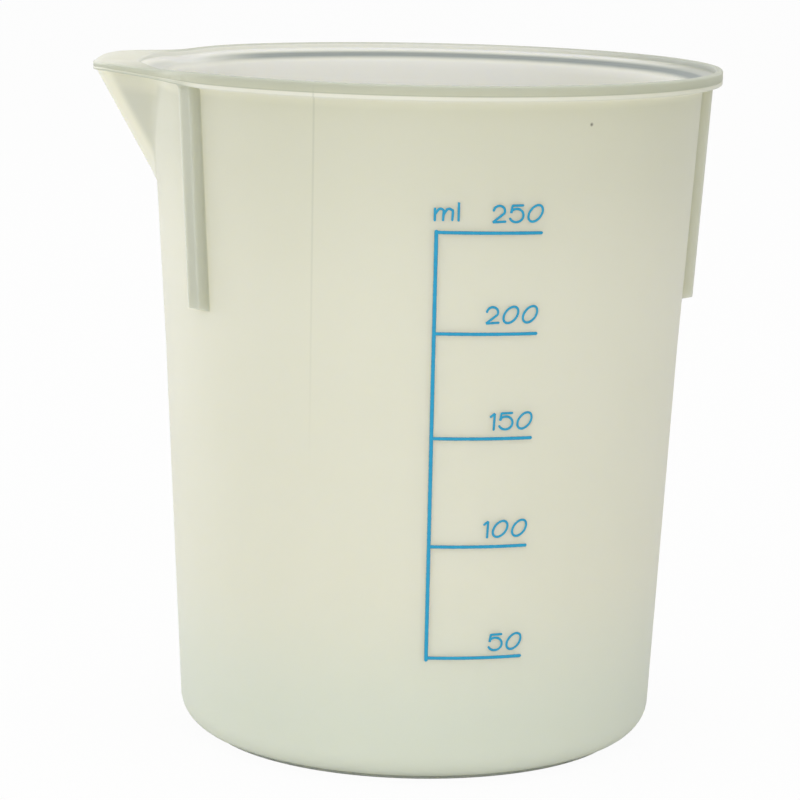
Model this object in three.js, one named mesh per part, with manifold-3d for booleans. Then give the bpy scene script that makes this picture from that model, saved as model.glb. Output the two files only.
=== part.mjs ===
// Laboratory beaker, 250 ml, injection moulded in natural polypropylene.
//
// Millimetres, +Z up. The origin is the centre of the underside, on the axis of the cup.
// The spout points along -X, and the printed scale faces -Y.
//
// The real beaker is one moulding: the base, wall, rim, spout and stacking ribs are filled
// by one shot of plastic and have no joint between them. The scale is ink on top of it.
// Each line of ink is a film of its own: one upright line, and one mark for each volume.
//
// Angles round the cup are in degrees. They start at the spout and grow towards the scale.

import * as THREE from 'three';
import { mergeVertices } from 'three/addons/utils/BufferGeometryUtils.js';
import Module from 'manifold-3d';

// Cup
const height = 93.3;
const wallRadiusAtFoot = 32.77;
const wallRadiusAtBreak = 35.55;
const draftBreakHeight = 55;
const wallRadiusAtRim = 37.95;
const wallThickness = 1.6;
const floorThickness = 1.7;
const outsideCornerRadius = 4.3;
const insideCornerRadius = 2.7;
const footRadius = 29.35;
const footHeight = 0.41;

// Rim: a plate that stands out from the wall, with a raised bead along its edge
const rimRadius = 40.48;
const rimHeight = 2.0;
const rimUnderEdge = 0.5;
const rimFillet = 0.8;
const beadWidth = 1.0;
const beadHeight = 0.95;
const beadRounding = 0.25;
const ledgeFlat = 0.15;
const ledgeFall = 0.6;
const mouthRounding = 1.0;
const beadInside = rimRadius - beadWidth;
const ledgeEdge = beadInside - beadRounding;
const ledgeEnd = ledgeEdge - ledgeFlat;

// Spout: a lip that swells out of the rim, level with the bead, on a solid V keel.
// The lip is thinner than the rim, and its top is a shallow trough.
const lipReach = 5.2;
const lipTipAngle = 8;
const lipShoulderAngle = 32;
const lipHeight = 1.2;
const lipUnderEdge = 0.3;
const lipThinAngle = 20;
const lipThickAngle = 46;
const troughDepth = 0.5;
const troughAngle = 14;
const keelLength = 15.6;
const keelTopBelowRim = 1.5;
const keelSetBack = 0.05;
const flankAngle = 39.3;
const keelRounding = 2.0;
const flankFillet = 0.9;

// Stacking ribs, one opposite the spout and one on each side of it
const ribWidth = 3.1;
const ribDepth = 1.47;
const ribRounding = 0.4;
const ribFootHeight = 61.4;
const ribSideAngle = 35.9;
const ribRoot = 0.8;
const ribTopCover = 0.1;

// Printed scale
const nominalVolume = 250;
const markStep = 50;
const scaleLineAngle = 92.5;
const scaleEndAngle = 114.6;
const scaleLineWidth = 0.5;
const markThickness = 0.36;
const inkThickness = 0.06;
const inkClearance = 0.03;

// Fineness of the surfaces
const cupStepAngle = 5;
const spoutStepAngle = 2;
const wallRingStep = 2.0;
const cornerSteps = 4;
const edgeSteps = 3;
const integrationSteps = 2000;

// The largest share of a narrow step that a rounding may take
const largestShare = 0.9;
const beadShare = 0.45;
const mouthShare = 0.6;

const full = 360;
const half = full / 2;
const quarterTurn = full / 4;
const cubicMillimetresPerMillilitre = 1000;

const plastic = new THREE.MeshStandardMaterial({ color: '#dfdfc9', roughness: 0.38, metalness: 0 });
const ink = new THREE.MeshStandardMaterial({ color: '#1a9cc4', roughness: 0.5, metalness: 0 });

const radians = THREE.MathUtils.degToRad;
const lerp = THREE.MathUtils.lerp;

// The skins of the cup

// The wall is drafted in two stages and opens a little faster above the break
function wallOutside(z) {
  if (z < draftBreakHeight) {
    return lerp(wallRadiusAtFoot, wallRadiusAtBreak, z / draftBreakHeight);
  }
  return lerp(wallRadiusAtBreak, wallRadiusAtRim, (z - draftBreakHeight) / (height - draftBreakHeight));
}

function wallInside(z) {
  return wallOutside(z) - wallThickness;
}

// Rises from 0 at the outer angle to 1 at the inner one, on both sides of the spout
function towardsSpout(angle, outer, inner) {
  return THREE.MathUtils.smoothstep(outer - Math.abs(angle), 0, outer - inner);
}

function rimEdge(angle) {
  return rimRadius + lipReach * towardsSpout(angle, lipShoulderAngle, lipTipAngle);
}

function rimTop(angle) {
  return height - troughDepth * Math.max(1 - Math.abs(angle) / troughAngle, 0);
}

function underEdge(angle) {
  return lerp(rimUnderEdge, lipUnderEdge, towardsSpout(angle, lipThickAngle, lipThinAngle));
}

function underside(angle) {
  return rimTop(angle) - lerp(rimHeight, lipHeight, towardsSpout(angle, lipThickAngle, lipThinAngle));
}

// The keel is the spout's front edge. It rises in a straight line from the wall to the lip.
const keelTop = height - keelTopBelowRim;
const keelFoot = keelTop - keelLength;
const keelRadiusAtTop = rimRadius + lipReach - keelSetBack;
const keelRadiusAtFoot = wallOutside(keelFoot);

function keelOutside(z) {
  return lerp(keelRadiusAtFoot, keelRadiusAtTop, Math.min((z - keelFoot) / keelLength, 1));
}

// A flat flank runs back from the keel on each side, square to the direction flankAngle.
// Where it would clear the wall altogether, it is turned until it just touches it.
function flankRadius(angle, keel, wall) {
  const touching = Math.acos(Math.min(1, wall / keel));
  const facing = Math.max(radians(flankAngle), touching);
  const rounding = keelRounding * Math.tan(facing) / keel;
  const fromKeel = Math.hypot(radians(angle), rounding) - rounding;
  return keel * Math.cos(facing) / Math.cos(Math.min(fromKeel, facing) - facing);
}

// The larger of two radii, with the corner between them rounded off
function blendedMaximum(first, second, blend) {
  const overlap = Math.max(blend - Math.abs(first - second), 0) / blend;
  return Math.max(first, second) + overlap * overlap * blend / 4;
}

// Below the spout the wall stays true
function outside(angle, z) {
  const wall = wallOutside(z);
  if (z <= keelFoot) {
    return wall;
  }
  return blendedMaximum(wall, flankRadius(angle, keelOutside(z), wall), flankFillet);
}

// One section of the moulding, from the middle of the underside, up the outside,
// over the rim and down the inside to the middle of the floor
const wallStart = footHeight + outsideCornerRadius;
const cornerCentre = wallOutside(wallStart) - outsideCornerRadius;
const footTurn = Math.asin(Math.max(footRadius - cornerCentre, 0) / outsideCornerRadius);
const floorEnd = floorThickness + insideCornerRadius;
const spoutRings = Math.max(2, Math.round(keelLength / wallRingStep));
const draftBreaks = draftBreakHeight < keelFoot ? [draftBreakHeight] : [];

function steps(from, to, count) {
  return Array.from({ length: count + 1 }, (_, step) => lerp(from, to, step / count));
}

function quarter(count) {
  return steps(0, radians(quarterTurn), count);
}

// The ledge is level next to the bead, and falls like a cone towards the mouth
const ledge = height - beadHeight;
const mouth = ledge - ledgeFall;
const mouthWidth = Math.min(mouthRounding, (ledgeEnd - wallInside(mouth)) * mouthShare);

function section(angle) {
  const points = [];
  const put = (radius, z) => points.push([radius, z]);
  const under = underside(angle);
  const filletStart = under - rimFillet;

  put(0, 0);
  put(footRadius, 0);
  for (const turn of steps(footTurn, radians(quarterTurn), cornerSteps)) {
    const z = wallStart - outsideCornerRadius * Math.cos(turn);
    put(cornerCentre + outsideCornerRadius * Math.sin(turn), z);
  }
  for (const z of [...draftBreaks, ...steps(keelFoot, filletStart, spoutRings)]) {
    put(outside(angle, z), z);
  }

  const edge = rimEdge(angle);
  const overhang = edge - outside(angle, under);
  const underWidth = Math.min(underEdge(angle), overhang * largestShare);
  const filletWidth = Math.min(rimFillet, (overhang - underWidth) * largestShare);
  for (const turn of quarter(edgeSteps).slice(1)) {
    const z = filletStart + rimFillet * Math.sin(turn);
    put(outside(angle, z) + filletWidth * (1 - Math.cos(turn)), z);
  }
  for (const turn of quarter(edgeSteps)) {
    put(edge - underWidth * (1 - Math.sin(turn)), under + underEdge(angle) * (1 - Math.cos(turn)));
  }

  const top = rimTop(angle);
  const rounding = Math.min(beadRounding, (top - ledge) * beadShare);
  put(edge, top - rounding);
  put(edge - rounding, top);
  put(beadInside + rounding, top);
  put(beadInside, top - rounding);
  put(beadInside, ledge + rounding);
  put(ledgeEdge, ledge);
  put(ledgeEnd, ledge);
  for (const turn of quarter(edgeSteps)) {
    const z = mouth - mouthRounding * (1 - Math.cos(turn));
    put(wallInside(z) + mouthWidth * (1 - Math.sin(turn)), z);
  }
  for (const z of draftBreaks) {
    put(wallInside(z), z);
  }
  for (const turn of quarter(cornerSteps).reverse()) {
    const z = floorEnd - insideCornerRadius * Math.cos(turn);
    put(wallInside(floorEnd) - insideCornerRadius * (1 - Math.sin(turn)), z);
  }
  put(0, floorThickness);
  return points;
}

// Columns round the cup: close together across the spout, wider on the plain wall.
// One of them runs along the middle of the spout.
function columnAngles() {
  const stretch = (from, to, step) => steps(from, to, Math.round((to - from) / step)).slice(0, -1);
  return [
    ...stretch(-lipShoulderAngle, 0, spoutStepAngle),
    ...stretch(0, lipShoulderAngle, spoutStepAngle),
    ...stretch(lipShoulderAngle, quarterTurn, cupStepAngle),
    ...stretch(quarterTurn, half, cupStepAngle),
    ...stretch(half, full - quarterTurn, cupStepAngle),
    ...stretch(full - quarterTurn, full - lipShoulderAngle, cupStepAngle),
  ];
}

const columns = columnAngles();

function place(radius, angle, z) {
  const turn = radians(half + angle);
  return [radius * Math.cos(turn), radius * Math.sin(turn), z];
}

function geometryOf(vertices, triangles) {
  const geometry = new THREE.BufferGeometry();
  geometry.setAttribute('position', new THREE.Float32BufferAttribute(vertices.flat(), 3));
  geometry.setIndex(triangles.flat());
  return geometry;
}

// The cup as a skin of sections set round the axis, each patch split along its shorter diagonal
function cupGeometry() {
  const sections = columns.map((angle) => section(angle > half ? angle - full : angle));
  const rings = sections[0].length - 2;
  const bottom = 0;
  const top = 1;
  const vertices = [place(...centre(sections[0][0])), place(...centre(sections[0][rings + 1]))];
  for (const [column, points] of sections.entries()) {
    for (const [radius, z] of points.slice(1, -1)) {
      vertices.push(place(radius, columns[column], z));
    }
  }
  const at = (column, ring) => 2 + (column % columns.length) * rings + ring;
  const apart = (a, b) => Math.hypot(...vertices[a].map((value, axis) => value - vertices[b][axis]));
  const triangles = [];
  for (let column = 0; column < columns.length; column += 1) {
    triangles.push([bottom, at(column + 1, 0), at(column, 0)]);
    triangles.push([top, at(column, rings - 1), at(column + 1, rings - 1)]);
    for (let ring = 0; ring < rings - 1; ring += 1) {
      const corner = at(column, ring);
      const beside = at(column + 1, ring);
      const above = at(column, ring + 1);
      const across = at(column + 1, ring + 1);
      if (apart(corner, across) < apart(beside, above)) {
        triangles.push([corner, beside, across], [corner, across, above]);
      } else {
        triangles.push([corner, beside, above], [beside, across, above]);
      }
    }
  }
  return geometryOf(vertices, triangles);
}

function centre([radius, z]) {
  return [radius, 0, z];
}

// A rib: its side outline follows the wall's draft, and its top ends inside the rim,
// where it slopes as the ledge above it does
function ribGeometry(angle) {
  const topOutside = ledge - ribTopCover;
  const topInside = mouth - ribRounding;
  const outline = new THREE.Shape();
  outline.moveTo(wallOutside(ribFootHeight) - ribRoot, ribFootHeight);
  outline.lineTo(wallOutside(ribFootHeight) + ribDepth, ribFootHeight);
  outline.lineTo(wallOutside(topOutside) + ribDepth, topOutside);
  outline.lineTo(wallOutside(topInside) - ribRoot, topInside);
  outline.closePath();
  const geometry = new THREE.ExtrudeGeometry(outline, {
    depth: ribWidth - 2 * ribRounding,
    bevelThickness: ribRounding,
    bevelSize: ribRounding,
    bevelOffset: -ribRounding,
    bevelSegments: edgeSteps,
  });
  geometry.translate(0, 0, ribRounding - ribWidth / 2);
  geometry.rotateX(radians(quarterTurn));
  geometry.rotateZ(radians(half + angle));
  return geometry;
}

// Joining solids

const wasm = await Module();
wasm.setup();

function solidOf(geometry) {
  const bare = geometry.clone();
  bare.deleteAttribute('normal');
  bare.deleteAttribute('uv');
  const merged = mergeVertices(bare);
  const vertProperties = Float32Array.from(merged.attributes.position.array);
  const triVerts = Uint32Array.from(merged.index.array);
  return new wasm.Manifold(new wasm.Mesh({ numProp: 3, vertProperties, triVerts }));
}

function geometryFrom(solid) {
  const mesh = solid.getMesh();
  const geometry = new THREE.BufferGeometry();
  geometry.setAttribute('position', new THREE.BufferAttribute(mesh.vertProperties, 3));
  geometry.setIndex(new THREE.BufferAttribute(mesh.triVerts, 1));
  return geometry;
}

function beakerBody() {
  const ribAngles = [-ribSideAngle, ribSideAngle, half];
  let body = solidOf(cupGeometry());
  for (const angle of ribAngles) {
    body = body.add(solidOf(ribGeometry(angle)));
  }
  return geometryFrom(body);
}

// The printed scale

// Height of the liquid for a volume in millilitres, poured into the cup below the spout
function fillHeight(volume) {
  let z = floorThickness;
  let filled = 0;
  const step = (height - floorThickness) / integrationSteps;
  while (filled < volume * cubicMillimetresPerMillilitre) {
    const middle = z + step / 2;
    const depth = Math.max(floorEnd - middle, 0);
    const cornerLoss = insideCornerRadius - Math.sqrt(insideCornerRadius ** 2 - depth ** 2);
    filled += Math.PI * (wallInside(middle) - cornerLoss) ** 2 * step;
    z += step;
  }
  return z;
}

// The wall is made of flat strips between the columns, and the ink lies on them
function stripRadius(angle, z) {
  const next = columns.findIndex((column) => column > angle);
  const middle = (columns[next - 1] + columns[next]) / 2;
  const halfStrip = radians(columns[next] - middle);
  return wallOutside(z) * Math.cos(halfStrip) / Math.cos(radians(angle - middle));
}

// A film of ink between two angles and two heights. It bends wherever the wall bends.
function inkGeometry(startAngle, endAngle, lowest, highest) {
  const bends = (places, from, to) => [from, ...places.filter((at) => at > from && at < to), to];
  const angles = bends(columns, startAngle, endAngle);
  const heights = bends(draftBreaks, lowest, highest);
  const vertices = [];
  for (const angle of angles) {
    for (const z of heights) {
      const under = stripRadius(angle, z) + inkClearance;
      vertices.push(place(under, angle, z), place(under + inkThickness, angle, z));
    }
  }
  const back = (column, row) => 2 * (column * heights.length + row);
  const front = (column, row) => back(column, row) + 1;
  const triangles = [];
  const patch = (a, b, c, d) => triangles.push([a, b, c], [a, c, d]);
  const lastColumn = angles.length - 1;
  const lastRow = heights.length - 1;
  for (let column = 0; column < lastColumn; column += 1) {
    const next = column + 1;
    for (let row = 0; row < lastRow; row += 1) {
      const above = row + 1;
      patch(front(column, row), front(next, row), front(next, above), front(column, above));
      patch(back(column, row), back(column, above), back(next, above), back(next, row));
    }
    patch(back(column, 0), back(next, 0), front(next, 0), front(column, 0));
    patch(back(column, lastRow), front(column, lastRow), front(next, lastRow), back(next, lastRow));
  }
  for (let row = 0; row < lastRow; row += 1) {
    const above = row + 1;
    patch(back(0, row), front(0, row), front(0, above), back(0, above));
    patch(back(lastColumn, row), back(lastColumn, above), front(lastColumn, above), front(lastColumn, row));
  }
  return geometryOf(vertices, triangles);
}

function named(name, geometry, material) {
  const mesh = new THREE.Mesh(geometry, material);
  mesh.name = name;
  geometry.computeVertexNormals();
  return mesh;
}

const beaker = new THREE.Group();
beaker.add(named('beaker_body', beakerBody(), plastic));

const volumes = [];
for (let volume = markStep; volume <= nominalVolume; volume += markStep) {
  if (fillHeight(volume) + markThickness < keelFoot) {
    volumes.push(volume);
  }
}
const markHeights = volumes.map(fillHeight);
const lineHalfAngle = THREE.MathUtils.radToDeg(scaleLineWidth / 2 / wallOutside(markHeights.at(-1)));
const clearanceAngle = THREE.MathUtils.radToDeg(inkClearance / wallOutside(markHeights[0]));
const markStartAngle = scaleLineAngle + lineHalfAngle + clearanceAngle;

const scaleLine = inkGeometry(
  scaleLineAngle - lineHalfAngle,
  scaleLineAngle + lineHalfAngle,
  markHeights[0] - markThickness / 2,
  markHeights.at(-1) + markThickness / 2,
);
beaker.add(named('scale_line', scaleLine, ink));

for (const [order, volume] of volumes.entries()) {
  const z = markHeights[order];
  const mark = inkGeometry(markStartAngle, scaleEndAngle, z - markThickness / 2, z + markThickness / 2);
  beaker.add(named(`mark_${volume}`, mark, ink));
}

export default beaker;
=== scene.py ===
"""Looks of a moulded laboratory beaker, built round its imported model.

Metres, +Z up, spout towards -X.
"""
import math
import random

import bpy
import numpy as np
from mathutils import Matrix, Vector


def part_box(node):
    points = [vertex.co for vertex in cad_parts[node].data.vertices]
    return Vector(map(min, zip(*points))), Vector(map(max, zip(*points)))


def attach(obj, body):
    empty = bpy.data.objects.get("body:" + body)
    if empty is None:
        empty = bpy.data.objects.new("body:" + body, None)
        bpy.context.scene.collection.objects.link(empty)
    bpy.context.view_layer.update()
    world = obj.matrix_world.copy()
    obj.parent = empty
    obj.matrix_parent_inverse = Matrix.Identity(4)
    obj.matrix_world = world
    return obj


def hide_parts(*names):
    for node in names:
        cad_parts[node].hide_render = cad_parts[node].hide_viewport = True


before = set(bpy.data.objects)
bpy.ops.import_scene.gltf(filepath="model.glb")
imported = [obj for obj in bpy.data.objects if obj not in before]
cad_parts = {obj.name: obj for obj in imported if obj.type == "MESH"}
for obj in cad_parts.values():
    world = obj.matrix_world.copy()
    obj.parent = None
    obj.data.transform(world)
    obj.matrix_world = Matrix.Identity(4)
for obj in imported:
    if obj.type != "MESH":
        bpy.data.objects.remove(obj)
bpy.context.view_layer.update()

# The beaker itself: one injection moulding in natural polypropylene. The tool filled floor, wall,
# rim, spout and stacking ribs in one shot, so nothing is joined and every edge is a small radius.
# Its lengths are in millimetres, and an angle round the cup is in degrees from the spout.

mm = 0.001
body_low, body_high = (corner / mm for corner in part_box("beaker_body"))
height = body_high.z
rim_radius = body_high.x
lip_reach = -body_low.x - rim_radius

underside_radii = (12.0, 24.0, 28.0)
foot_radius = 29.35
foot_rounding = 0.15
corner_rounding_outside = 4.3
corner_rounding_inside = 2.7
corner_lift = 0.41
draft_heights = (0.0, 55.0, height)
draft_radii = (32.77, 35.55, 37.95)
wall = 1.6
floor = 1.7
floor_radii = (24.0, 12.0)

flange_height = 2.0
flange_edge = 0.25
flange_fillet = 0.8
parting_height = 0.68
parting_drop_at_lip = 0.4
parting_depth = 0.09
bead_inside = rim_radius - 1.0
bead_height = 0.95
bead_rounding = 0.25
ledge_flat = 0.15
ledge_fall = 0.6
mouth_rounding = 1.0
room_for_radius = 0.9
room_for_mouth = 0.6
rim_dip = 0.25
rim_dip_angle = 28.0
rim_dip_spread = 9.0

lip_tip_angle = 8.0
lip_shoulder_angle = 32.0
lip_thin_angle = 20.0
lip_thick_angle = 46.0
lip_height = 1.2
trough_depth = 0.5
trough_angle = 14.0
trough_rounding = 1.2
keel_length = 15.6
keel_below_rim = 1.5
keel_set_back = 0.05
keel_rounding = 2.0
flank_facing = math.radians(39.3)
flank_fillet = 0.9

rib_angles = (-35.9, 35.9, 180.0)
rib_width = 3.1
rib_depth = 1.47
rib_foot = 61.4
rib_edge = 0.35

column_step = 1.5
spout_column_step = 0.75
spout_columns_end = 33.0

keel_foot = height - keel_below_rim - keel_length
wall_start = corner_lift + corner_rounding_outside
floor_end = floor + corner_rounding_inside
ledge = height - bead_height
mouth = ledge - ledge_fall


def smooth(value, low, high):
    """0 up to low, 1 from high, and an S-curve between."""
    share = min(max((value - low) / (high - low), 0.0), 1.0)
    return share * share * (3 - 2 * share)


def towards_spout(angle, outer, inner):
    """0 beyond the outer angle from the spout and 1 within the inner one."""
    return smooth(outer - abs(angle), 0.0, outer - inner)


def wall_radius(z):
    """The outside of the drafted wall, without its spout and ribs."""
    return float(np.interp(z, draft_heights, draft_radii))


def keel_radius(z):
    """The keel's edge, straight from the wall up to the lip."""
    top = rim_radius + lip_reach - keel_set_back
    share = min((z - keel_foot) / keel_length, 1.0)
    return wall_radius(keel_foot) + (top - wall_radius(keel_foot)) * share


def flank_radius(angle, keel, plain):
    """A flat flank on each side of the keel, turned so that it never clears the round wall."""
    facing = max(flank_facing, math.acos(min(1.0, plain / keel)))
    rounding = keel_rounding * math.tan(facing) / keel
    from_keel = math.hypot(math.radians(angle), rounding) - rounding
    return keel * math.cos(facing) / math.cos(min(from_keel, facing) - facing)


def blended_maximum(first, second, blend):
    """The larger of two radii, with a fillet where they cross."""
    overlap = max(blend - abs(first - second), 0.0) / blend
    return max(first, second) + overlap * overlap * blend / 4


def spout_and_wall(angle, z):
    """The outside of the wall with the solid V under the lip."""
    plain = wall_radius(z)
    if z <= keel_foot:
        return plain
    return blended_maximum(plain, flank_radius(angle, keel_radius(z), plain), flank_fillet)


def away_from_spout(angle):
    """0 on the half with the spout, 1 round the back."""
    return smooth(abs(angle), 100, 160)


def beside_rib(angle, z):
    """How far the side of the nearest rib is, along the wall. Below 0 it is on the rib."""
    from_rib = min(abs((angle - rib + 180) % 360 - 180) for rib in rib_angles)
    return math.radians(from_rib) * wall_radius(z) - rib_width / 2


def outside(angle, z):
    """The outside of the wall with its spout and ribs."""
    facing = 1 - smooth(beside_rib(angle, z), -rib_edge, rib_edge / 3)
    return spout_and_wall(angle, z) + rib_depth * facing * smooth(z, rib_foot, rib_foot + rib_edge)


# Shade and light are painted into the plastic's colour. The painted shade darkens it where thick
# plastic and shade look darker in one light; it is 0 on the bare wall, 1 where it is darkest, and below
# 0 on a bright edge, which is painted light. It was matched to the photo place by place, and isn't a
# measured thickness.

upper_wall_painted_shade = 0.25
upper_wall_fade = (60, 90)
back_wall_painted_shade = 0.12
by_spout_painted_shade = 0.2
by_spout_angles = (33, 36)
by_spout_fade = (72, 86)
under_flange_painted_light = 0.6
under_flange_fade = (height - 3.2, height - 2.6)
rib_painted_shade = 0.66
rib_loss_at_back = 0.25
rib_gain_on_face = 0.14
rib_side_fade = (0.05, 0.3)
keel_painted_shade = 0.36
keel_loss_at_top = 0.2
keel_top_fade = (height - 4.6, height - 3.6)
keel_side_fade = (0.02, 0.3)
painted_edge_light = -0.25
edge_glow_fade = (3.0, 5.0)


def outside_full(angle, z):
    """Painted shade on the outer wall, ribs and keel, with painted light on the keel's edge."""
    beside = beside_rib(angle, z)
    away = away_from_spout(angle)
    # Painted shade towards the rim, deeper round the back and beside the spout.
    shade_paint = (upper_wall_painted_shade + back_wall_painted_shade * away) * smooth(z, *upper_wall_fade)
    shade_paint += by_spout_painted_shade * (1 - smooth(abs(angle), *by_spout_angles)) * smooth(z, *by_spout_fade)
    # Painted light: a lighter band just under the flange.
    shade_paint *= 1 - under_flange_painted_light * smooth(z, *under_flange_fade)

    # The ribs get painted shade, deeper on their faces and lighter round the back.
    on_face = 1 - smooth(beside, -rib_edge, 0.0)
    rib = rib_painted_shade - rib_loss_at_back * away + rib_gain_on_face * on_face
    above_rib_foot = smooth(z, rib_foot - 0.1, rib_foot + 0.2)
    shade_paint += (rib - shade_paint) * ((1 - smooth(beside, *rib_side_fade)) * above_rib_foot)

    # The keel's flanks get painted shade, and its edge painted light.
    from_edge = math.radians(abs(angle)) * keel_radius(z)
    keel = keel_painted_shade - keel_loss_at_top * smooth(z, *keel_top_fade)
    keel += (painted_edge_light - keel) * (1 - smooth(from_edge, *edge_glow_fade))
    return shade_paint + (keel - shade_paint) * smooth(spout_and_wall(angle, z) - wall_radius(z), *keel_side_fade)


def quarter(count):
    """Even steps of a quarter turn, in radians."""
    return [math.radians(90 * step / count) for step in range(count + 1)]


def wall_rows(top):
    """Heights of the rings up the wall: close together at the ribs' feet and across the spout."""
    plain = np.linspace(wall_start + 2, rib_foot - 1, 22)
    rib_ends = np.linspace(rib_foot - 0.3, rib_foot + rib_edge + 0.3, 9)
    above_ribs = np.linspace(rib_foot + 2, keel_foot, 7)
    spout = np.linspace(keel_foot, top, 24)[1:]
    return [*plain, *rib_ends, *above_ribs, *spout]


# Painted shade on the profile: the crease above the foot, the flange and its parting groove, the bead,
# the ledge and mouth, and the inside, deeper round the back.
foot_crease_painted_shade = 0.6
flange_painted_shade = 0.7
flange_under_painted_shade = 0.25
flange_back_painted_shade = 0.4
flange_by_spout_painted_shade = 0.8
flange_by_spout_angles = (36, 44)
parting_painted_shade = 0.5
bead_painted_shade = 0.35
bead_gain_at_back = 0.45
ledge_back_painted_shade = 0.7
ledge_back_angles = (125, 170)
ledge_painted_shade = ((0.0, 0.1), (0.25, 0.35), (0.5, 0.75), (0.75, 1.0))
mouth_painted_shade = (1.0, 1.0, 1.0, 0.9, 0.65, 0.35, 0.1, 0.0)
mouth_painted_shade_at_spout = 0.45
mouth_spout_angles = (28, 52)
inside_back_painted_shade = 0.12


def section(angle):
    """One closed profile at an angle from the spout: up the outside, over the rim, down the inside.
    A point is a radius, a height, its painted shade (below 0, painted light) and its half of the tool:
    the cavity (0) or the core (1).
    """
    away = away_from_spout(angle)
    points = [(radius, 0.0, 0.0, 0.0) for radius in (*underside_radii, foot_radius - foot_rounding)]
    # The foot's side is painted lighter, and the crease above it painted darker.
    points += [(foot_radius, foot_rounding, painted_edge_light, 0.0), (foot_radius, corner_lift, foot_crease_painted_shade, 0.0)]
    corner_centre = wall_radius(wall_start) - corner_rounding_outside
    foot_turn = math.asin((foot_radius - corner_centre) / corner_rounding_outside)
    for turn in np.linspace(foot_turn + 0.03, math.pi / 2, 12):
        z = wall_start - corner_rounding_outside * math.cos(turn)
        points.append((corner_centre + corner_rounding_outside * math.sin(turn), z, 0.0, 0.0))

    trough = max(1 - math.hypot(angle, trough_rounding) / trough_angle, 0.0)
    top = height - trough_depth * trough
    thin = towards_spout(angle, lip_thick_angle, lip_thin_angle)
    under = top - flange_height + (flange_height - lip_height) * thin
    fillet_start = under - flange_fillet
    for z in wall_rows(fillet_start):
        points.append((outside(angle, z), z, outside_full(angle, z), 0.0))

    swell = towards_spout(angle, lip_shoulder_angle, lip_tip_angle)
    # The flange's face and underside are painted darker, and its parting groove darkest.
    face = flange_painted_shade + (1 - flange_painted_shade) * max(swell, away)
    by_spout = flange_by_spout_painted_shade * (1 - smooth(abs(angle), *flange_by_spout_angles))
    below_parting = max(flange_back_painted_shade * away, by_spout)
    edge = rim_radius + lip_reach * swell
    overhang = edge - outside(angle, under)
    under_width = min(flange_edge, overhang * room_for_radius)
    fillet_width = min(flange_fillet, (overhang - under_width) * room_for_radius)
    for turn in quarter(6)[1:]:
        z = fillet_start + flange_fillet * math.sin(turn)
        radius = outside(angle, z) + fillet_width * (1 - math.cos(turn))
        points.append((radius, z, outside_full(angle, z), 0.0))
    for turn in quarter(6):
        radius = edge - under_width * (1 - math.sin(turn))
        shade_paint = below_parting + flange_under_painted_shade * math.cos(turn)
        points.append((radius, under + flange_edge * (1 - math.cos(turn)), shade_paint, 0.0))
    parting = under + parting_height * (1 - parting_drop_at_lip * thin)
    points += [(edge, parting - 1.5 * parting_depth, below_parting, 0.0),
               (edge, parting - parting_depth, parting_painted_shade * face, 0.0),
               (edge - parting_depth, parting, 1.0, 0.0), (edge, parting + parting_depth, face, 0.0)]

    # The bead's top and inner face and the ledge are painted darker, more so round the back.
    rounding = min(bead_rounding, (top - ledge) * (room_for_radius / 2))
    on_top = 1 - swell
    bead = bead_painted_shade + bead_gain_at_back * away
    for turn in quarter(4):
        radius = edge - rounding * (1 - math.cos(turn))
        shade_paint = 1 - swell * math.sin(turn)
        points.append((radius, top - rounding * (1 - math.sin(turn)), shade_paint, 0.0))
    points.append(((edge + bead_inside) / 2, top, on_top, 0.0))
    for turn in reversed(quarter(4)):
        radius = bead_inside + rounding * (1 - math.cos(turn))
        shade_paint = bead + (on_top - bead) * math.sin(turn)
        points.append((radius, top - rounding * (1 - math.sin(turn)), shade_paint, 1 - math.sin(turn)))
    at_back = ledge_back_painted_shade * smooth(abs(angle), *ledge_back_angles)
    for turn, shade_paint in zip(quarter(3), (bead, at_back, at_back, at_back)):
        radius = bead_inside - bead_rounding * (1 - math.cos(turn))
        points.append((radius, ledge + rounding * (1 - math.sin(turn)), shade_paint, 1.0))

    ledge_end = bead_inside - bead_rounding - ledge_flat
    mouth_width = min(mouth_rounding, (ledge_end - wall_radius(mouth) + wall) * room_for_mouth)
    mouth_edge = wall_radius(mouth) - wall + mouth_width
    # The fall into the mouth and the mouth are painted darker, less so at the spout.
    from_spout = smooth(abs(angle), *mouth_spout_angles)
    at_mouth = mouth_painted_shade_at_spout + (1 - mouth_painted_shade_at_spout) * from_spout
    for fall, shade_paint in ledge_painted_shade:
        radius = ledge_end + (mouth_edge - ledge_end) * fall
        points.append((radius, ledge - ledge_fall * fall, max(shade_paint * at_mouth, at_back), 1.0))
    for turn, shade_paint in zip(quarter(7), mouth_painted_shade):
        z = mouth - mouth_rounding * (1 - math.cos(turn))
        radius = wall_radius(z) - wall + mouth_width * (1 - math.sin(turn))
        points.append((radius, z, shade_paint * at_mouth, 1.0))
    # The inside wall is painted darker round the back.
    for z in reversed(wall_rows(mouth - 2 * mouth_rounding)):
        points.append((wall_radius(z) - wall, z, inside_back_painted_shade * away, 1.0))

    inner_corner = wall_radius(floor_end) - wall - corner_rounding_inside
    for turn in reversed(quarter(9)):
        z = floor_end - corner_rounding_inside * math.cos(turn)
        points.append((inner_corner + corner_rounding_inside * math.sin(turn), z, 0.0, 1.0))
    return points + [(radius, floor, 0.0, 1.0) for radius in floor_radii]


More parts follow.
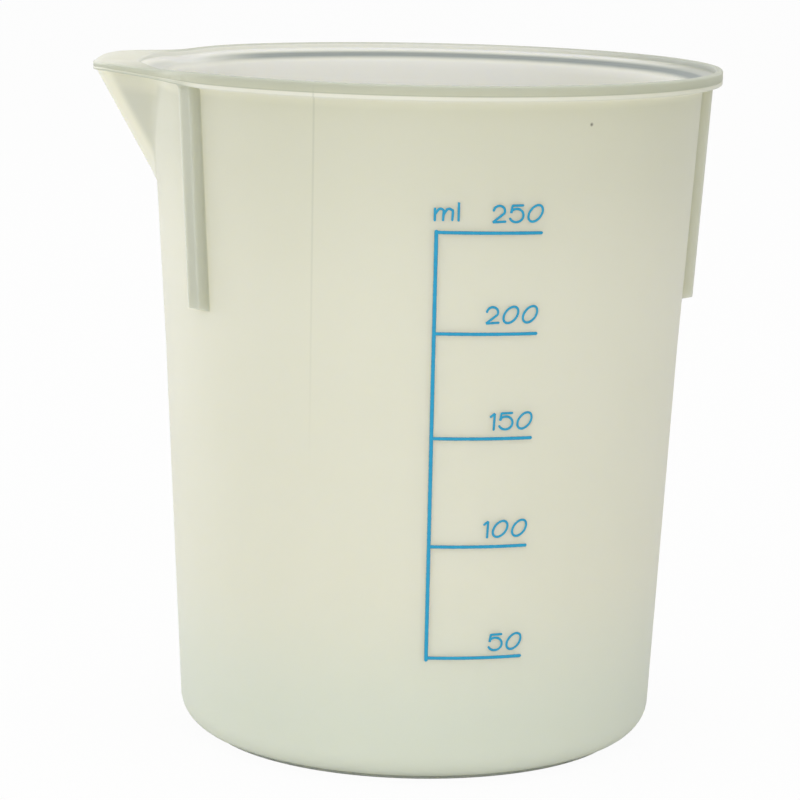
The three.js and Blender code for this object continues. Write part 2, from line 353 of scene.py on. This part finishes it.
def column_angles():
    """Angles of the columns round the cup: close together at the keel and at each rib's edges."""
    angles = set(np.round(np.arange(-180.0, 180.0, column_step), 3))
    at_spout = np.arange(-spout_columns_end, spout_columns_end, spout_column_step)
    angles |= set(np.round(at_spout, 3))
    edge_steps = np.linspace(-1.3 * rib_edge, 1.3 * rib_edge, 9)
    for rib in rib_angles:
        for side in (-1, 1):
            for step in edge_steps:
                across = math.degrees((side * rib_width / 2 + step) / wall_radius(rib_foot))
                angles.add(round((rib + across + 180) % 360 - 180, 3))
    return sorted(angles)


def place(radius, angle, z):
    """A point of the moulding in metres, from millimetres and the angle from the spout."""
    turn = math.radians(180 + angle)
    return Vector((radius * math.cos(turn), radius * math.sin(turn), z)) * mm


def moulding_mesh():
    """The sections joined into one closed mesh. Each vertex keeps its painted shade and its half of the
    tool, for the material.
    """
    columns = column_angles()
    sections = [section(angle) for angle in columns]
    rings = len(sections[0])
    vertices = [Vector((0, 0, 0)), Vector((0, 0, floor * mm))]
    solid = [0.0, 0.0]
    core_side = [0.0, 1.0]
    for angle, points in zip(columns, sections):
        dip = rim_dip * math.exp(-(((abs(angle) - rim_dip_angle) / rim_dip_spread) ** 2))
        for radius, z, shade_paint, core in points:
            vertices.append(place(radius, angle, z - dip * smooth(z, keel_foot, height)))
            solid.append(shade_paint)
            core_side.append(core)
    faces = []
    for column in range(len(columns)):
        here = 2 + column * rings
        beside = 2 + (column + 1) % len(columns) * rings
        faces.append((0, beside, here))
        faces.append((1, here + rings - 1, beside + rings - 1))
        for ring in range(rings - 1):
            faces.append((here + ring, beside + ring, beside + ring + 1, here + ring + 1))
    mesh = bpy.data.meshes.new("moulding")
    mesh.from_pydata(vertices, [], faces)
    mesh.shade_smooth()
    mesh.attributes.new("solid", "FLOAT", "POINT").data.foreach_set("value", solid)
    mesh.attributes.new("core_side", "FLOAT", "POINT").data.foreach_set("value", core_side)
    return mesh


def linear(hex_colour):
    """An sRGB colour such as "#dfdfc9" as the linear values that a shader takes."""
    levels = [int(hex_colour[start:start + 2], 16) / 255 for start in (1, 3, 5)]
    curve = [v / 12.92 if v <= 0.04045 else ((v + 0.055) / 1.055) ** 2.4 for v in levels]
    return (*curve, 1.0)


def new_material(name):
    material = bpy.data.materials.new(name)
    material.use_nodes = True
    material.node_tree.nodes.clear()
    return material


def node(tree, kind, inputs=None, **settings):
    """Adds a node. An input is a value, or the (node, output name) that it is linked from."""
    made = tree.nodes.new(kind)
    for name, value in settings.items():
        setattr(made, name, value)
    for name, value in (inputs or {}).items():
        if isinstance(value, tuple) and isinstance(value[0], bpy.types.Node):
            tree.links.new(value[0].outputs[value[1]], made.inputs[name])
        else:
            made.inputs[name].default_value = value
    return made


flow_line_to_spout = 14.3 * mm
flow_line_foot = 42 * mm
flow_line_top = 85 * mm
flow_line_side = 0.2 * mm
flow_line_middle = 0.05 * mm
flow_line_strength = 0.3
speck_place = (21.3 * mm, -31.1 * mm, 88 * mm)
speck_side = 0.32 * mm
speck_middle = 0.1 * mm
speck_strength = 0.8


def with_flow_line(tree, position, colour):
    """A faint upright line on the printed side, as plastic can leave where it fills the tool."""
    across = node(tree, "ShaderNodeMath", {
        0: (position, "X"), 1: flow_line_to_spout}, operation="ADD")
    distance = node(tree, "ShaderNodeMath", {0: (across, "Value")}, operation="ABSOLUTE")
    line = node(tree, "ShaderNodeMapRange", {
        "Value": (distance, "Value"), "From Min": flow_line_side, "From Max": flow_line_middle,
        "To Max": flow_line_strength})
    rising = node(tree, "ShaderNodeMapRange", {
        "Value": (position, "Z"), "From Min": flow_line_foot, "From Max": flow_line_top})
    fading_line = node(tree, "ShaderNodeMath", {
        0: (line, "Result"), 1: (rising, "Result")}, operation="MULTIPLY")
    printed_side = node(tree, "ShaderNodeMath", {
        0: (position, "Y"), 1: 0.0}, operation="LESS_THAN")
    line_there = node(tree, "ShaderNodeMath", {
        0: (fading_line, "Value"), 1: (printed_side, "Value")}, operation="MULTIPLY")
    return node(tree, "ShaderNodeMix", {
        "Factor": (line_there, "Value"), "A": (colour, "Result"), "B": linear("#b0b4a5")},
        data_type="RGBA")


def with_speck(tree, where, colour):
    """One dark speck in the wall, as a burnt grain of plastic leaves, high up and off the spout."""
    distance = node(tree, "ShaderNodeVectorMath", {
        0: (where, "Object"), 1: speck_place}, operation="DISTANCE")
    speck = node(tree, "ShaderNodeMapRange", {
        "Value": (distance, "Value"), "From Min": speck_side, "From Max": speck_middle,
        "To Max": speck_strength})
    return node(tree, "ShaderNodeMix", {
        "Factor": (speck, "Result"), "A": (colour, "Result"), "B": linear("#4a4a40")}, data_type="RGBA")


cloud_size = 22 * mm
# Painted cool light: the foot is tinted greener.
foot_cool_light_top = 30 * mm
foot_cool_light_end = 6 * mm
grain_size = 0.5 * mm
wave_size = 14 * mm
scatter_depth = 4 * mm


def natural_polypropylene():
    """Natural polypropylene, moulded against a finely blasted tool. It has no pigment: its crystals
    scatter light inside the wall, so it is milky, slightly warm, and glows where light comes through.
    Shade and light are painted into its colour: greyer where shade is painted, lighter on bright
    edges and inside the cup, and greener towards the foot with painted cool light, as in the photo.
    """
    material = new_material("natural_polypropylene")
    tree = material.node_tree
    where = node(tree, "ShaderNodeTexCoord")
    position = node(tree, "ShaderNodeSeparateXYZ", {"Vector": (where, "Object")})
    shade_paint = node(tree, "ShaderNodeAttribute", attribute_name="solid")
    core = node(tree, "ShaderNodeAttribute", attribute_name="core_side")

    clouds = node(tree, "ShaderNodeTexNoise", {
        "Vector": (where, "Object"), "Scale": 1 / cloud_size, "Detail": 3.0, "Roughness": 0.55})
    cloudy = node(tree, "ShaderNodeMix", {
        "Factor": (clouds, "Fac"), "A": linear("#eeeddb"), "B": linear("#f4f2e1")}, data_type="RGBA")
    # Painted cool light: greener towards the foot.
    foot = node(tree, "ShaderNodeMapRange", {
        "Value": (position, "Z"), "From Min": foot_cool_light_top, "From Max": foot_cool_light_end},
        interpolation_type="SMOOTHSTEP")
    bare = node(tree, "ShaderNodeMix", {
        "Factor": (foot, "Result"), "A": (cloudy, "Result"), "B": linear("#e4eadd")}, data_type="RGBA")
    # Painted shade darkens the outside, and painted light lightens its bright edges.
    outside_shade_range = node(tree, "ShaderNodeMapRange", {
        "Value": (shade_paint, "Fac"), "From Min": painted_edge_light, "From Max": 1.0})
    outside_with_painted_shade = node(tree, "ShaderNodeMix", {
        "Factor": (outside_shade_range, "Result"), "A": (bare, "Result"), "B": linear("#b0b4a5")},
        data_type="RGBA")
    outside_colour = with_speck(tree, where, with_flow_line(tree, position, outside_with_painted_shade))
    # The inside is painted lighter than the outside, as lit, and darker with its painted shade.
    inside_colour = node(tree, "ShaderNodeMix", {
        "Factor": (shade_paint, "Fac"), "A": linear("#fefdf0"), "B": linear("#899191")}, data_type="RGBA")
    tint = node(tree, "ShaderNodeMix", {
        "Factor": (core, "Fac"), "A": (outside_colour, "Result"), "B": (inside_colour, "Result")},
        data_type="RGBA")

    grain = node(tree, "ShaderNodeTexNoise", {
        "Vector": (where, "Object"), "Scale": 1 / grain_size, "Detail": 2.0, "Roughness": 0.6})
    waves = node(tree, "ShaderNodeTexNoise", {
        "Vector": (where, "Object"), "Scale": 1 / wave_size, "Detail": 1.0, "Roughness": 0.4})
    fine = node(tree, "ShaderNodeBump", {
        "Height": (grain, "Fac"), "Strength": 0.12, "Distance": 0.02 * mm})
    relief = node(tree, "ShaderNodeBump", {
        "Height": (waves, "Fac"), "Strength": 0.25, "Distance": 0.25 * mm, "Normal": (fine, "Normal")})
    gloss = node(tree, "ShaderNodeMapRange", {
        "Value": (clouds, "Fac"), "To Min": 0.44, "To Max": 0.54})
    shader = node(tree, "ShaderNodeBsdfPrincipled", {
        "Base Color": (tint, "Result"), "Roughness": (gloss, "Result"), "IOR": 1.49,
        "Subsurface Weight": 1.0, "Subsurface Radius": (1.0, 0.95, 0.8),
        "Subsurface Scale": scatter_depth, "Normal": (relief, "Normal")},
        subsurface_method="RANDOM_WALK")
    node(tree, "ShaderNodeOutputMaterial", {"Surface": (shader, "BSDF")})
    return material


polypropylene = natural_polypropylene()
moulding = bpy.data.objects.new("moulded_beaker", moulding_mesh())
bpy.context.scene.collection.objects.link(moulding)
moulding.data.materials.append(polypropylene)
moulding.modifiers.new("shading_by_area", "WEIGHTED_NORMAL")
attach(moulding, "root")
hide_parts("beaker_body")

# The scale: blue ink, screen printed on the wall after moulding. The squeegee lays a film that
# stands a few hundredths of a millimetre proud, and its edges wander a little with the mesh.

ink_height = 0.05
ink_sink = 0.02
ink_wander = 0.06
ink_step = 0.12
ink_sides = 8
ink_end_turns = (30, 60, 80)
line_width = 0.5
mark_width = 0.44
print_tilt = 0.012
random_print = random.Random(7)


def even_path(points, step):
    """The same path with points at an even spacing."""
    points = np.array(points, float)
    lengths = np.concatenate([[0], np.cumsum(np.linalg.norm(np.diff(points, axis=0), axis=1))])
    at = np.linspace(0, lengths[-1], max(3, int(lengths[-1] / step) + 1))
    return np.stack([np.interp(at, lengths, points[:, axis]) for axis in (0, 1)], axis=1)


def ink_stroke(path, width, start_angle, closed=False):
    """A film of ink along a path of (distance round the wall, height) in millimetres. An open path
    ends in half rounds that thin out, and a closed one runs back into its start.
    """
    path = even_path(path, ink_step)
    if closed:
        path = path[:-1]
    ahead = np.roll(path, -1, axis=0) - np.roll(path, 1, axis=0)
    if not closed:
        ahead[0], ahead[-1] = path[1] - path[0], path[-1] - path[-2]
    ahead /= np.linalg.norm(ahead, axis=1)[:, None]
    aside = np.stack([-ahead[:, 1], ahead[:, 0]], axis=1)
    wander = [1 + ink_wander * random_print.uniform(-1, 1) for _ in path]
    half_widths = width / 2 * np.array(wander)
    ends = [] if closed else [(0, -1), (len(path) - 1, 1)]
    rings = [(point, side, half, 1.0) for point, side, half in zip(path, aside, half_widths)]
    for index, direction in ends:
        caps = []
        for turn in ink_end_turns:
            reach = half_widths[index] * math.sin(math.radians(turn))
            shrink = math.cos(math.radians(turn))
            point = path[index] + direction * ahead[index] * reach
            caps.append((point, aside[index], half_widths[index] * shrink, shrink))
        rings = caps[::-1] + rings if direction < 0 else rings + caps
    vertices = []
    for point, side, half, rise in rings:
        for corner in range(ink_sides):
            turn = 2 * math.pi * corner / ink_sides
            spot = point + side * half * math.cos(turn)
            lift = ink_height * rise * max(math.sin(turn), 0) - ink_sink * (math.sin(turn) < 0)
            radius = wall_radius(spot[1]) + lift
            angle = start_angle + math.degrees(spot[0] / wall_radius(spot[1]))
            vertices.append(place(radius, angle, spot[1]))
    faces = []
    count = len(rings)
    for ring in range(count if closed else count - 1):
        here = ring * ink_sides
        above = (ring + 1) % count * ink_sides
        for corner in range(ink_sides):
            following = (corner + 1) % ink_sides
            faces.append((here + corner, here + following, above + following, above + corner))
    if not closed:
        faces.append(tuple(reversed(range(ink_sides))))
        faces.append(tuple(range((count - 1) * ink_sides, count * ink_sides)))
    return vertices, faces


def screen_ink():
    """Screen printing ink: pigmented, matt, and thin enough for its mesh to show as a slight mottle."""
    material = new_material("blue_screen_ink")
    tree = material.node_tree
    where = node(tree, "ShaderNodeTexCoord")
    mottle = node(tree, "ShaderNodeTexNoise", {
        "Vector": (where, "Object"), "Scale": 1 / (0.8 * mm), "Detail": 3.0, "Roughness": 0.6})
    colour = node(tree, "ShaderNodeMix", {
        "Factor": (mottle, "Fac"), "A": linear("#0a90c0"), "B": linear("#1bb0da")}, data_type="RGBA")
    shader = node(tree, "ShaderNodeBsdfPrincipled", {
        "Base Color": (colour, "Result"), "Roughness": 0.5, "IOR": 1.5})
    node(tree, "ShaderNodeOutputMaterial", {"Surface": (shader, "BSDF")})
    return material


blue_ink = screen_ink()


def print_ink(name, strokes, *nodes):
    """Joins strokes of ink into one piece that rides on the beaker."""
    vertices = []
    faces = []
    for stroke_vertices, stroke_faces in strokes:
        faces += [tuple(corner + len(vertices) for corner in face) for face in stroke_faces]
        vertices += stroke_vertices
    mesh = bpy.data.meshes.new(name)
    mesh.from_pydata(vertices, [], faces)
    mesh.shade_smooth()
    piece = bpy.data.objects.new(name, mesh)
    bpy.context.scene.collection.objects.link(piece)
    mesh.materials.append(blue_ink)
    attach(piece, "root")
    if nodes:
        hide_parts(*nodes)


line_low, line_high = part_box("scale_line")
line_angle = 90 + math.degrees(math.atan2(
    (line_low.x + line_high.x) / 2, -(line_low.y + line_high.y) / 2))
line_bottom = line_low.z / mm
line_top = line_high.z / mm
print_ink("printed_line", [ink_stroke([(0, line_bottom), (0, line_top)], line_width, line_angle)],
          "scale_line")

volumes = (50, 100, 150, 200, 250)
mark_heights = {}
mark_ends = {}
for volume in volumes:
    mark_low, mark_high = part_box(f"mark_{volume}")
    z = (mark_low.z + mark_high.z) / 2 / mm
    end = 90 + math.degrees(math.asin(mark_high.x / mm / (wall_radius(z) + ink_height)))
    mark_heights[volume] = z
    mark_ends[volume] = end
    reach = math.radians(end - line_angle) * wall_radius(z)
    start = line_width / 4
    rise = print_tilt * reach / 2
    path = [(start, z + rise), (reach - mark_width / 2, z - rise)]
    stroke = ink_stroke(path, mark_width, line_angle)
    print_ink(f"printed_mark_{volume}", [stroke], f"mark_{volume}")

# The numerals and the unit: the same ink, drawn for the screen with one round-ended pen in an
# upright drafting hand whose noughts lean to the right. The numerals stand above the right ends of
# the marks, and the unit above the left end of the top one.

pen = 0.32
numeral_height = 2.13
letter_gap = 0.62
nought_lean = 0.36


def arc(centre_x, centre_y, radius_x, radius_y, start, end, lean=0.0, count=18):
    """Points of an ellipse between two angles in degrees, leaning to the right."""
    turns = [math.radians(start + (end - start) * step / count) for step in range(count + 1)]
    return [(centre_x + radius_x * math.cos(t) + lean * radius_y * math.sin(t),
             centre_y + radius_y * math.sin(t)) for t in turns]


def arch(left, middle_x, right):
    """One arch of the m, from its left stem over to the foot of its right one."""
    over = arc(middle_x, 0.95, 0.45, 0.55, 150, 45)
    return [(left, 0.75)] + over + [(right, 1.3), (right - 0.06, 0.05)]


middle = numeral_height / 2
glyphs = {
    "0": (2.05, [(arc(1.02, middle, 0.92, middle, 0, 360, nought_lean, 36), True)]),
    "1": (0.55, [([(0.0, 1.72), (0.52, numeral_height), (0.44, 0.0)], False)]),
    "2": (1.66, [(arc(0.82, 1.44, 0.74, 0.69, 172, -28) + [(0.0, 0.0), (1.66, 0.08)], False)]),
    "5": (1.86, [([(1.72, numeral_height), (0.28, numeral_height), (0.1, 1.12)]
                 + arc(0.86, 0.84, 0.96, 0.86, 128, -152), False)]),
    "m": (2.42, [([(0.0, 1.5), (0.0, 0.0)], False), (arch(0.0, 0.72, 1.12), False),
                 (arch(1.12, 1.8, 2.3), False)]),
    "l": (0.0, [([(0.0, 0.0), (0.0, 2.2)], False)]),
}


def written(text, end_angle, baseline):
    """Strokes of a word whose right side stands at an angle of the wall."""
    widths = [glyphs[letter][0] for letter in text]
    radius = wall_radius(baseline)
    total = sum(widths) + letter_gap * (len(text) - 1) + pen / 2
    start = end_angle - math.degrees(total / radius)
    strokes = []
    offset = 0.0
    for letter, width in zip(text, widths):
        for path, closed in glyphs[letter][1]:
            shifted = [(x + offset, y + baseline) for x, y in path]
            strokes.append(ink_stroke(shifted, pen, start, closed))
        offset += width + letter_gap
    return strokes


numeral_above_mark = {50: 0.95, 100: 1.26, 150: 1.2, 200: 1.42, 250: 1.4}
unit_right_of_line = 2.95
unit_above_mark = 1.65

for volume, above in numeral_above_mark.items():
    numeral = written(str(volume), mark_ends[volume], mark_heights[volume] + above)
    print_ink(f"printed_numeral_{volume}", numeral)

unit_end = line_angle + math.degrees(unit_right_of_line / wall_radius(line_top))
print_ink("printed_unit", written("ml", unit_end, mark_heights[250] + unit_above_mark))

# The studio: a wide white card under the beaker, and an even white room that is brighter in front.
# Soft lamps stand low behind its left side, straight above it, and low in front.

backdrop_size = 6.0
plain_white_share = 0.95


def white_sweep():
    """Matt white card that shows as plain white, with only a trace of the beaker's shadow."""
    material = new_material("white_card")
    tree = material.node_tree
    card = node(tree, "ShaderNodeBsdfDiffuse", {"Color": linear("#f4f4f2")})
    glow = node(tree, "ShaderNodeEmission", {"Color": linear("#ffffff"), "Strength": 1.0})
    ray = node(tree, "ShaderNodeLightPath")
    share = node(tree, "ShaderNodeMath", {
        0: (ray, "Is Camera Ray"), 1: plain_white_share}, operation="MULTIPLY")
    mixed = node(tree, "ShaderNodeMixShader", {
        "Fac": (share, "Value"), 1: (card, "BSDF"), 2: (glow, "Emission")})
    node(tree, "ShaderNodeOutputMaterial", {"Surface": (mixed, "Shader")})
    return material


bpy.ops.mesh.primitive_plane_add(size=backdrop_size, location=(0, 0, 0))
sweep = bpy.context.object
sweep.name = "white_sweep"
sweep.data.materials.append(white_sweep())

room_brightness = 0.608
brighter_towards = (-0.026, -0.334, 0.05)


def white_room():
    """A room that is plain white where it is seen, and lights the beaker more from the front."""
    room = bpy.data.worlds.new("white_room")
    room.use_nodes = True
    tree = room.node_tree
    tree.nodes.clear()
    ray = node(tree, "ShaderNodeLightPath")
    seen = node(tree, "ShaderNodeMath", {
        0: (ray, "Is Camera Ray"), 1: (ray, "Is Glossy Ray")}, operation="MAXIMUM")
    seen_through = node(tree, "ShaderNodeMath", {
        0: (seen, "Value"), 1: (ray, "Is Transmission Ray")}, operation="MAXIMUM")
    direction = node(tree, "ShaderNodeTexCoord")
    towards_front = node(tree, "ShaderNodeVectorMath", {
        0: (direction, "Generated"), 1: brighter_towards}, operation="DOT_PRODUCT")
    lighting = node(tree, "ShaderNodeMath", {
        0: (towards_front, "Value"), 1: room_brightness}, operation="ADD")
    strength = node(tree, "ShaderNodeMix", {
        "Factor": (seen_through, "Value"), "A": (lighting, "Value"), "B": 1.0}, data_type="FLOAT")
    air = node(tree, "ShaderNodeBackground", {
        "Color": linear("#ffffff"), "Strength": (strength, "Result")})
    node(tree, "ShaderNodeOutputWorld", {"Surface": (air, "Background")})
    return room


bpy.context.scene.world = white_room()


def soft_light(name, location, size, power):
    """A square soft box aimed at the middle of the beaker, and hidden from the camera."""
    light = bpy.data.lights.new(name, "AREA")
    light.size = size
    light.energy = power
    lamp = bpy.data.objects.new(name, light)
    lamp.location = location
    aim = Vector((0, 0, 0.05)) - Vector(location)
    lamp.rotation_euler = aim.to_track_quat("-Z", "Y").to_euler()
    lamp.visible_camera = False
    bpy.context.scene.collection.objects.link(lamp)


soft_light("left_behind", (-0.8, 0.55, 0.06), 0.4, 3.0)
soft_light("above", (0.0, 0.0, 1.0), 0.3, 1.8)
soft_light("low_front", (-0.12, -0.42, 0.03), 0.25, 0.3)

# The camera: a long lens 45 cm in front of the beaker's axis, a little above its rim and tipped down
# by ten degrees, as solved from the photo.

camera_data = bpy.data.cameras.new("camera")
camera_data.lens = 147.08
camera_data.clip_start = 0.01
camera_data.clip_end = 50
camera = bpy.data.objects.new("camera", camera_data)
camera.location = (0, -0.45016, 0.12569)
camera.rotation_euler = [math.radians(angle) for angle in (79.975, -1.129, 0.558)]
bpy.context.scene.collection.objects.link(camera)
bpy.context.scene.camera = camera
bpy.context.scene.view_settings.view_transform = "Standard"
